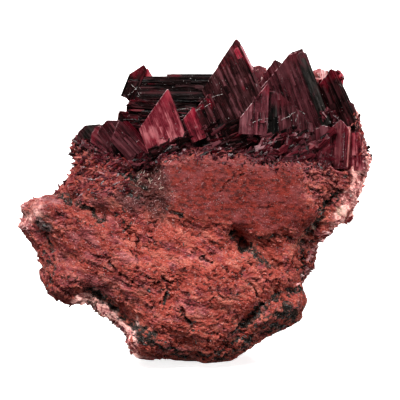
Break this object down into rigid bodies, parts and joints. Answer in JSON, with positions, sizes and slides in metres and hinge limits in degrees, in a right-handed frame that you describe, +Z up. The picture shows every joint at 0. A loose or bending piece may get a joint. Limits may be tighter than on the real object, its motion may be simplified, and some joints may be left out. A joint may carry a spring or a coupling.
{
  "type": "erythrite specimen",
  "caption": "Hand specimen of massive pink erythrite, broken all round, with a pocket of wine-red, blade-shaped erythrite crystals along its upper edge; it stands on a flat break.",
  "frame": {"origin": "centre of the bounding box, on the flat break that the specimen stands on", "axes": "+Z up, +X to the right along the crystal-bearing edge, -Y out of the broken face that shows the crystals, +Y towards the back"},
  "size_m": [0.0426, 0.024, 0.039],
  "materials": {
    "massive_erythrite": "rough broken mineral, brick pink, with dark ore in its cracks",
    "erythrite_crystal": "glassy to pearly crystal, wine red, see-through where thin, striated along its length"
  },
  "bodies": {
    "root": {"matrix": "massive_erythrite", "front_left_blade": "erythrite_crystal", "left_plate": "erythrite_crystal", "right_low_blades": "erythrite_crystal", "broken_crystals": "erythrite_crystal", "mauve_block": "erythrite_crystal", "front_right_blade": "erythrite_crystal", "central_spire": "erythrite_crystal", "right_spire": "erythrite_crystal", "pocket_plates": "erythrite_crystal", "back_left_prism": "erythrite_crystal", "behind_spire": "erythrite_crystal", "right_small_spire": "erythrite_crystal", "upper_left_crystals": "erythrite_crystal", "rear_right_druse": "erythrite_crystal", "rear_crest_crystals": "erythrite_crystal"}
  },
  "joints": []
}
